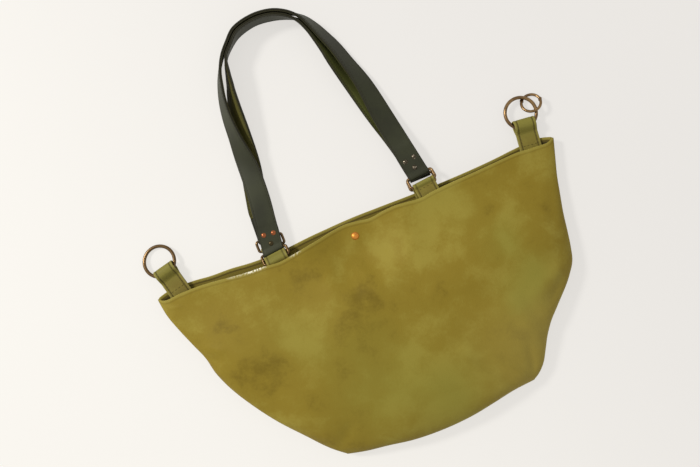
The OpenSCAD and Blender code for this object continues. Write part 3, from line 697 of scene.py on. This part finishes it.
def leather_paint(name, light, mid, deep, wax=None):
    """Waxed leather: three tones in clouds and smudges, and a fine pebbled grain."""
    paint = Paint(name)
    place = paint.place()
    clouds = paint.noise(place, 15.0, 2.0, 0.45, 0.3)
    smudges = paint.noise(place, 40.0, 3.0, 0.5, 0.3)
    specks = paint.noise(place, 300.0, 3.0, 0.6)
    tone = (clouds - 0.5) * 1.6 + (smudges - 0.5) * 1.5 + (specks - 0.5) * 0.5 + 0.62
    if wax is not None:
        tone = tone + paint.attribute(wax)
    colour = paint.mix(tone.stepped(-0.15, 0.5), deep, mid)
    colour = paint.mix(tone.stepped(0.5, 1.2), colour, light)
    pebbles = paint.cells(place, 620.0)
    creases = paint.noise(place, 420.0, 4.0, 0.6, 0.4)
    height = pebbles.held(0.0, 0.3) * 2.0 + creases * 0.9
    return paint, place, colour, tone, height


def body_leather(body):
    """The panels' leather: greener fields, a pale rim and a darker seam along the mouth, painted shade
    deep inside the mouth and a painted dark hollow at both mouth corners, a painted paler lower right that
    offsets the shade on that slope, and a painted glare where the front's edge shines."""
    paint, place, colour, tone, height = leather_paint(
        "Body leather", body.light_tone, body.mid_tone, body.deep_tone, "wax")
    x, y = paint.axis(place, "X"), paint.axis(place, "Y")
    greener = paint.attribute("green").held() * (tone.stepped(-0.2, 0.9) * 0.5 + 0.5)
    colour = paint.mix(greener * 0.75, colour, srgb(142, 135, 54))
    depth, inside = paint.attribute("depth"), paint.attribute("inside")
    colour = paint.mix(inside * 0.9, colour, srgb(116, 102, 38))
    # painted shade: the inside of the mouth darkens with depth below the edge
    colour = paint.mix(inside * depth.stepped(7.0, 12.0) * 0.6, colour, srgb(66, 56, 24))
    # painted shade: a near-black hollow inside both mouth corners
    ends = x.stepped(0.222, 0.236) + x.stepped(-0.222, -0.234)
    colour = paint.mix(ends * inside * depth.stepped(3.0, 5.0) * 0.85, colour, srgb(40, 32, 16))
    # painted light: the lower right is paler to offset the shade on its slope, which faces away from the
    # lamp
    painted_light_right_foot = x.stepped(0.02, 0.15) * y.stepped(-0.12, -0.2)
    colour = paint.mix(painted_light_right_foot * 0.5, colour, srgb(176, 158, 78))
    colour = paint.mix(depth.stepped(2.0, 1.1) * 0.5, colour, srgb(156, 146, 70))
    seam_line = depth.stepped(2.0, 2.7) * depth.stepped(4.4, 3.2)
    colour = paint.mix(seam_line * (inside * 0.6 + 0.2), colour, srgb(70, 58, 22))
    # painted highlight: a white glare on the front's turned edge, broken up by fine noise
    glare = paint.attribute("painted_glare") * paint.noise(place, 420.0, 2.0).stepped(0.42, 0.5)
    colour = paint.mix(glare.held(), colour, srgb(252, 247, 222))
    rough = (tone - 0.5) * 0.1 + 0.58
    return paint.finish(Base_Color=colour, Roughness=rough, Normal=paint.bump(height, 0.35, 0.0003),
                        Specular_IOR_Level=0.14)


def tab_leather(tabs):
    """The tabs' leather: greener at the fold, pale on the cut edges, dark in the stitch grooves."""
    paint, _, colour, _, height = leather_paint(
        "Tab leather", srgb(134, 122, 52), tabs.tone, tabs.deep_tone)
    fold = paint.attribute("fold").held()
    colour = paint.mix(fold * 0.65, colour, srgb(132, 128, 56))
    edge = paint.attribute("edge")
    colour = paint.mix(edge * 0.7, colour, srgb(148, 138, 70))
    colour = paint.mix(paint.attribute("groove") * 0.6, colour, srgb(74, 64, 24))
    return paint.finish(Base_Color=colour, Roughness=0.6, Normal=paint.bump(height, 0.35, 0.0003),
                        Specular_IOR_Level=0.22)


def strap_leather(straps):
    """Dark, waxed strap leather with burnished edges, greener where it is rubbed."""
    paint = Paint("Strap leather")
    place = paint.place()
    clouds = paint.noise(place, 24.0, 3.0, 0.55)
    fine = paint.noise(place, 500.0, 3.0, 0.6)
    colour = paint.mix(clouds.stepped(0.35, 0.7), straps.dark_tone, srgb(55, 57, 39))
    colour = paint.mix(paint.attribute("edge") * 0.7, colour, srgb(34, 31, 20))
    height = paint.cells(place, 900.0).held(0.0, 0.25) * 1.5 + fine
    return paint.finish(Base_Color=colour, Roughness=clouds * 0.12 + 0.46,
                        Normal=paint.bump(height, 0.25, 0.0002), Specular_IOR_Level=0.2)


def lining_leather(straps):
    """Olive lining: brighter on the right leg, browner on the left, and near black over the arch of the
    handles, a painted shade.
    """
    paint = Paint("Strap lining")
    place = paint.place()
    clouds = paint.noise(place, 18.0, 3.0, 0.55)
    x, y = paint.axis(place, "X"), paint.axis(place, "Y")
    colour = paint.mix(clouds.stepped(0.3, 0.7), srgb(76, 79, 36), straps.lining_tone)
    colour = paint.mix(x.stepped(-0.02, -0.07) * 0.8, colour, srgb(84, 78, 34))
    # painted shade: the arch's inner face, turned away from the light, near black
    colour = paint.mix(y.stepped(0.185, 0.235) * 0.85, colour, srgb(34, 30, 19))
    colour = paint.mix(paint.attribute("edge") * 0.8, colour, srgb(40, 38, 20))
    height = paint.noise(place, 650.0, 4.0, 0.65)
    return paint.finish(Base_Color=colour, Roughness=0.66, Normal=paint.bump(height, 0.3, 0.0002),
                        Specular_IOR_Level=0.2)


def thread_paint(name, colour):
    paint = Paint(name)
    fuzz = paint.noise(paint.place(), 2500.0, 2.0)
    shade = paint.mix(fuzz.stepped(0.3, 0.7), colour, tuple(c * 1.35 for c in colour))
    return paint.finish(Base_Color=shade, Roughness=0.8, Specular_IOR_Level=0.2)


def aged_brass(metal):
    """Brass under a thin brown film that is rubbed off in spots."""
    paint = Paint("Aged brass")
    place = paint.place()
    film = paint.noise(place, 70.0, 3.0, 0.5).stepped(0.34, 0.66)
    rubbed = paint.noise(place, 260.0, 2.0, 0.5).stepped(0.54, 0.72)
    colour = paint.mix(film * 0.7, metal.brass, metal.tarnish)
    colour = paint.mix(rubbed * 0.22, colour, srgb(176, 148, 104))
    left_end = paint.axis(place, "X").stepped(-0.04, -0.07)
    colour = paint.mix(left_end * 0.6, colour, srgb(72, 56, 36))
    height = paint.noise(place, 420.0, 2.0)
    return paint.finish(Base_Color=colour, Metallic=1.0, Roughness=film * 0.1 + 0.24,
                        Normal=paint.bump(height, 0.08, 0.0001))


def bright_copper(metal):
    paint = Paint("Copper")
    place = paint.place()
    stain = paint.noise(place, 420.0, 3.0, 0.6).stepped(0.42, 0.72)
    colour = paint.mix(stain * 0.6, metal.copper, srgb(150, 96, 44))
    height = paint.noise(place, 1500.0, 2.0)
    return paint.finish(Base_Color=colour, Metallic=1.0, Roughness=stain * 0.15 + 0.42,
                        Normal=paint.bump(height, 0.1, 0.0001))


def rivet_bronze():
    """Small rivets: copper on the left of the handle, nearly black and rubbed pale on the right."""
    paint = Paint("Rivets")
    place = paint.place()
    x, y = paint.axis(place, "X"), paint.axis(place, "Y")
    rubbed = paint.noise(place, 700.0, 3.0, 0.6).stepped(0.5, 0.68)
    dark = paint.mix(rubbed, srgb(58, 52, 40), srgb(176, 164, 146))
    warm = paint.mix(rubbed * 0.6, srgb(146, 86, 54), srgb(98, 58, 38))
    colour = paint.mix(x.stepped(-0.02, 0.02), warm, dark)
    colour = paint.mix(x.stepped(0.0, -0.01) * y.stepped(0.0165, 0.0155), colour, srgb(64, 56, 38))
    return paint.finish(Base_Color=colour, Metallic=1.0, Roughness=0.3)


def floor_paint():
    """A pale matt table, paler and a little warmer on the left as painted light falling off from the
    lamp's side, that the camera sees at its own colour.
    """
    paint = Paint("Table")
    place = paint.place()
    x, y = paint.axis(place, "X"), paint.axis(place, "Y")
    # painted light: the table's colour fades away from the lamp's side
    along = (x * 0.926 + y * 0.377).stepped(-0.42, 0.36)
    colour = paint.mix(along, srgb(250, 247, 241), srgb(239, 236, 232))
    matt = paint.node("ShaderNodeBsdfDiffuse", None, {"Color": colour})
    plain = paint.node("ShaderNodeEmission", None, {"Color": colour, "Strength": 1.0})
    return paint.shown(paint.node("ShaderNodeMixShader", None,
                                  {0: paint.seen_directly() * 0.74, 1: matt, 2: plain}))


# Pieces


def settings():
    return bpy.context.scene.trapeze_bag


class BAG_OT_panels(bpy.types.Operator):
    """Builds the front and back panels with their turned mouth edges"""
    bl_idname = "bag.panels"
    bl_label = "Panels"

    def execute(self, context):
        body = settings().body
        skin = body_leather(body)
        rows, cols = 150, 260
        for name, nodes, surface, outward in (
                ("front_shell", ("front_panel", "front_facing"), front_surface, 1),
                ("back_shell", ("back_panel", "back_facing"), back_surface, -1)):
            plan, height = surface(body, rows, cols)
            loop, depth, inside = panel_shell(plan, height, body.leather, body.hem, outward)
            x, y = loop[..., 0], loop[..., 1]
            depth, inside = (np.broadcast_to(v[:, None], x.shape) for v in (depth, inside))
            # painted highlight: the glare along the front's edge, kept as a point attribute
            painted_glare = glare(x, depth) if outward > 0 else np.zeros_like(x)
            piece = mesh_object(name, loop.reshape(-1, 3), grid_faces(*x.shape, close_rows=True), skin,
                                {"depth": depth, "inside": inside, "painted_glare": painted_glare,
                                 "wax": patches(x, y, WAX), "green": patches(x, y, GREEN)})
            turn_outwards(piece, join=True)
            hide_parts(*nodes)
            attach(piece, "bag")
        return {"FINISHED"}


def loop_line(tail, radius, flat, slack, flap=0.0):
    """Side view of a doubled tab: along the top to the bar, round it, and back below. A flap takes
    the fold on past the bar, as a flat lip."""
    if flap:
        along = np.concatenate([np.linspace(-tail, -6, 14), np.linspace(-5.2, flap - flat, 26)])
        lift = flat + (radius - flat) * np.exp(-(along / 3.3) ** 2)
        centre, turn_r = flap - flat, flat
    else:
        along = np.concatenate([np.linspace(-tail, -radius * 1.6, 12),
                                np.linspace(-radius * 1.5, slack, 14)])
        lift = blend_of(flat, radius, smooth((along + radius * 1.6) / (radius * 1.6)))
        centre, turn_r = slack, radius
    turn = np.radians(np.linspace(90, -90, 15))[1:-1]
    y = np.concatenate([along, centre + turn_r * np.cos(turn), along[::-1]])
    z = np.concatenate([lift, turn_r * np.sin(turn), -lift[::-1]])
    return y, z


def set_down(points, origin, turn):
    """Local points (x along the bar, y away from the bag, z up) put at a place, turned in plan."""
    c, s = math.cos(turn), math.sin(turn)
    x, y = points[..., 0] * c - points[..., 1] * s, points[..., 0] * s + points[..., 1] * c
    return np.stack([x + origin[0], y + origin[1], points[..., 2] + origin[2]], axis=-1)


def tab(name, origin, turn, line, widths, tabs, skin, twine, inset, cross_at, to_the_fold=False):
    """One tab with its stitch lines, as a strip along its side view."""
    y, z = line
    path = np.stack([np.zeros_like(y), y, z], axis=1)
    wide = np.broadcast_to(np.array([1.0, 0, 0]), path.shape)
    run = unit(np.gradient(path, axis=0))
    face = unit(np.cross(wide, run))
    half = tabs.layer / 2
    width = np.interp(np.abs(y), [0, np.max(np.abs(y))], widths)
    section = rounded_section(widths[0], -half, half, 0.6, inset, 0.35)
    turned = [set_down(v, (0, 0, 0), turn) for v in (wide, face)]
    piece = strip(name, set_down(path, origin, turn), *turned, section, skin,
                  stretch=width / widths[0], fold=smooth((y - cross_at) / max(6.0, -cross_at)))
    pieces = [piece]
    top = np.arange(len(y) // 2)
    for side in (-1, 1):
        lane = path[top] + side * (width[top, None] / 2 - inset) * wide[top] + (half - 0.2) * face[top]
        if not to_the_fold:
            lane = lane[lane[:, 1] < cross_at + 0.5]
        pieces.append(thread(f"{name}_thread_{'left' if side < 0 else 'right'}",
                             set_down(lane, origin, turn), np.tile([0.0, 0, 1], (len(lane), 1)), twine))
    reach = np.interp(cross_at, y[top], width[top]) / 2 - inset
    height = np.interp(cross_at, y[top], z[top]) + half - 0.05
    across = np.stack([np.linspace(-reach, reach, 12), np.full(12, cross_at), np.full(12, height)], axis=1)
    pieces.append(thread(f"{name}_thread_cross", set_down(across, origin, turn),
                         np.tile([0.0, 0, 1], (12, 1)), twine))
    return pieces


class BAG_OT_tabs(bpy.types.Operator):
    """Builds the leather loops that hold the handle rings and the corner rings"""
    bl_idname = "bag.tabs"
    bl_label = "Tabs"

    def execute(self, context):
        tabs = settings().tabs
        skin = tab_leather(tabs)
        twine = thread_paint("Tab thread", srgb(84, 74, 32))
        radius, flat = BAR_BORE + tabs.layer / 2, tabs.layer / 2 + LAY / 2
        made = []
        for front, z in ((True, FRONT_BAR_Z), (False, BACK_BAR_Z)):
            _, lower, _ = bar_line(front)
            for side, place in zip(("left", "right"), lower):
                name = f"{'front' if front else 'back'}_tab_{side}"
                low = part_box(name)[0][1] / MM
                tail = place[1] - low - (1.2 if front else 0)
                flap = 8.0 if name == "front_tab_left" else 0.0
                line = loop_line(tail, radius, flat, 0.0, flap)
                made.append((name, tab(name + "_leather", (*place, z), FRONT_TURN if front else 0, line,
                                       (tabs.width, tabs.width), tabs, skin, twine, tabs.stitch_inset,
                                       -5.2 if not flap else -4.6)))
        corner_radius = CORNER_BORE + tabs.layer / 2
        for side, root, reach, lean in CORNER_TABS:
            turn = math.radians(lean)
            place = (root - reach * math.sin(turn), reach * math.cos(turn), CORNER_Z)
            line = loop_line(reach + CORNER_TAIL, corner_radius, flat, CORNER_SLACK)
            name = f"corner_tab_{side}"
            made.append((name, tab(name + "_leather", place, turn, line, (25, 26.0), tabs, skin, twine,
                                   tabs.stitch_inset, 3.5 - reach, True)))
        for node, pieces in made:
            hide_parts(node)
            for piece in pieces:
                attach(piece, "bag")
        return {"FINISHED"}


class BAG_OT_handles(bpy.types.Operator):
    """Builds the two strap handles, each of dark leather with an olive lining"""
    bl_idname = "bag.handles"
    bl_label = "Handles"

    def execute(self, context):
        straps = settings().straps
        dark, olive = strap_leather(straps), lining_leather(straps)
        twine = thread_paint("Strap thread", srgb(44, 42, 26))
        for front in (True, False):
            name = "front_handle" if front else "back_handle"
            sign = 1 if front else -1
            path, wide, face = strap_frames(front, straps.width)
            bar_run, _, ends = bar_line(front)
            leans = FRONT_LEANS if front else BACK_LEANS
            z = FRONT_UP_Z if front else BACK_UP_Z
            mean = straps.outer / 2
            tips = [fold_stations(end, lean, z, bar_run, sign, mean, FOLD_REACH)
                    for end, lean in zip(ends, leans)]
            body = (path + sign * mean * face, wide, sign * face)
            left, right = tips[0], [v[::-1] for v in tips[1]]
            right[1] = -right[1]
            whole = [np.concatenate([left[k], body[k][1:-1], right[k]]) for k in range(3)]
            whole[1] = consistent(whole[1])
            run = unit(np.gradient(whole[0], axis=0))
            whole[2] = unit(np.cross(whole[1], run))
            section = rounded_section(straps.width, -mean, mean, 0.7, STRAP_INSET, 0.12)
            outer = strip(f"{name}_dark", whole[0], whole[1], whole[2], section, dark)
            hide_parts(f"{name}_outer")
            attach(outer, name)
            low, high = sorted((-sign * LAY / 2, -sign * (straps.lining + LAY / 2)))
            section = rounded_section(straps.width - 0.4, low, high, 0.5, STRAP_INSET, 0.2)
            inner = strip(f"{name}_olive", path, wide, face, section, olive)
            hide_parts(f"{name}_lining")
            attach(inner, name)
            for side in (-1, 1):
                for layer, level, up in (("dark", sign * (straps.outer - 0.12), sign),
                                         ("olive", low + 0.1 if front else high - 0.1, -sign)):
                    lane = (path[4:-4] + side * (straps.width / 2 - STRAP_INSET) * wide[4:-4]
                            + level * face[4:-4])
                    row = thread(f"{name}_{layer}_thread_{'right' if side < 0 else 'left'}", lane,
                                 up * face[4:-4], twine, 2.6, 1.0, 0.55, 0.22)
                    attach(row, name)
        return {"FINISHED"}


def consistent(vectors):
    """Directions along a path, each turned round where it points against the one before it."""
    agree = np.sign(np.sum(vectors[1:] * vectors[:-1], axis=1))
    agree[agree == 0] = 1
    return vectors * np.concatenate([[1], np.cumprod(agree)])[:, None]


class BAG_OT_hardware(bpy.types.Operator):
    """Gives the rings, rivets and snap their metals"""
    bl_idname = "bag.hardware"
    bl_label = "Hardware"

    def execute(self, context):
        metal = settings().metal
        brass, copper, bronze = aged_brass(metal), bright_copper(metal), rivet_bronze()
        for name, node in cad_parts.items():
            if any(word in name for word in ("ring", "stud", "socket")):
                finish = brass
            elif "rivets" in name:
                finish = bronze
            elif "cap" in name:
                finish = copper
            else:
                continue
            for slot in node.material_slots:
                slot.material = finish
        return {"FINISHED"}


# Table's half width and drop under the bag, and the camera's place and turn in plan, mm and degrees
TABLE_HALF, TABLE_DROP = 2600.0, 0.15
CAMERA_X, CAMERA_Y, CAMERA_TURN = -12.5, -12.7, -22.18
# Lamp's watts, width and place in metres
LAMP_POWER, LAMP_SIZE, LAMP_PLACE = 62.0, 0.55, (-2.25, 0.78, 1.9)
LIGHT_COLOUR = (1.0, 0.985, 0.96)


class BAG_OT_stage(bpy.types.Operator):
    """Sets the table, the soft light and the camera"""
    bl_idname = "bag.stage"
    bl_label = "Stage"

    def execute(self, context):
        stage = settings().stage
        scene = bpy.context.scene
        scene.view_settings.view_transform = "Standard"
        corners = [(x * TABLE_HALF, y * TABLE_HALF, -TABLE_DROP)
                   for x, y in ((-1, -1), (1, -1), (1, 1), (-1, 1))]
        mesh_object("table", corners, [(0, 1, 2, 3)], floor_paint())
        world = bpy.data.worlds.new("Room")
        scene.world = world
        world.use_nodes = True
        room = Tree(world.node_tree)
        room.tree.nodes.clear()
        seen = room.seen_directly()
        light = room.node("ShaderNodeBackground", None,
                          {"Color": LIGHT_COLOUR, "Strength": seen * 0.44 + 0.5})
        output = room.tree.nodes.new("ShaderNodeOutputWorld")
        room.tree.links.new(light.socket, output.inputs["Surface"])
        turn = math.radians(CAMERA_TURN)
        self.lamp("Window", stage.key * LAMP_POWER, LAMP_SIZE, LAMP_PLACE, turn)
        lens = bpy.data.cameras.new("Camera")
        lens.lens = stage.lens
        lens.sensor_width = 36.0
        lens.clip_start, lens.clip_end = 0.01, 20.0
        camera = bpy.data.objects.new("Camera", lens)
        camera.location = (CAMERA_X * MM, CAMERA_Y * MM, stage.camera_height * MM)
        camera.rotation_euler = (0.0, 0.0, turn)
        scene.collection.objects.link(camera)
        scene.camera = camera
        return {"FINISHED"}

    def lamp(self, name, power, size, place, turn):
        """A round soft light, its place given as the camera sees it: right, up, towards it."""
        data = bpy.data.lights.new(name, "AREA")
        data.shape = "DISK"
        data.size = size
        data.energy = power
        data.color = LIGHT_COLOUR
        lamp = bpy.data.objects.new(name, data)
        c, s = math.cos(turn), math.sin(turn)
        lamp.location = (place[0] * c - place[1] * s, place[0] * s + place[1] * c, place[2])
        aim = -np.array(lamp.location)
        lamp.rotation_euler = (math.acos(-aim[2] / np.linalg.norm(aim)), 0.0,
                               math.atan2(aim[1], aim[0]) - math.pi / 2)
        bpy.context.scene.collection.objects.link(lamp)


class BagSettings(bpy.types.PropertyGroup):
    body: bpy.props.PointerProperty(type=BodySettings)
    tabs: bpy.props.PointerProperty(type=TabSettings)
    straps: bpy.props.PointerProperty(type=StrapSettings)
    metal: bpy.props.PointerProperty(type=MetalSettings)
    stage: bpy.props.PointerProperty(type=StageSettings)


STEPS = (BAG_OT_panels, BAG_OT_tabs, BAG_OT_handles, BAG_OT_hardware, BAG_OT_stage)


class BAG_PT_panel(bpy.types.Panel):
    """Lists the steps and their sizes"""
    bl_label = "Trapeze bag"
    bl_idname = "BAG_PT_panel"
    bl_space_type = "VIEW_3D"
    bl_region_type = "UI"
    bl_category = "Bag"

    def draw(self, context):
        for step in STEPS:
            self.layout.operator(step.bl_idname)
        bag = context.scene.trapeze_bag
        for group in (bag.body, bag.tabs, bag.straps, bag.metal, bag.stage):
            box = self.layout.box()
            for key in group.__annotations__:
                box.prop(group, key)


CLASSES = (BodySettings, TabSettings, StrapSettings, MetalSettings, StageSettings, BagSettings,
           *STEPS, BAG_PT_panel)


def register():
    for kind in CLASSES:
        bpy.utils.register_class(kind)
    bpy.types.Scene.trapeze_bag = bpy.props.PointerProperty(type=BagSettings)


def unregister():
    del bpy.types.Scene.trapeze_bag
    for kind in reversed(CLASSES):
        bpy.utils.unregister_class(kind)


def main():
    register()
    for step in ("panels", "tabs", "handles", "hardware", "stage"):
        getattr(bpy.ops.bag, step)()
    bpy.context.view_layer.update()


if __name__ == "__main__":
    main()
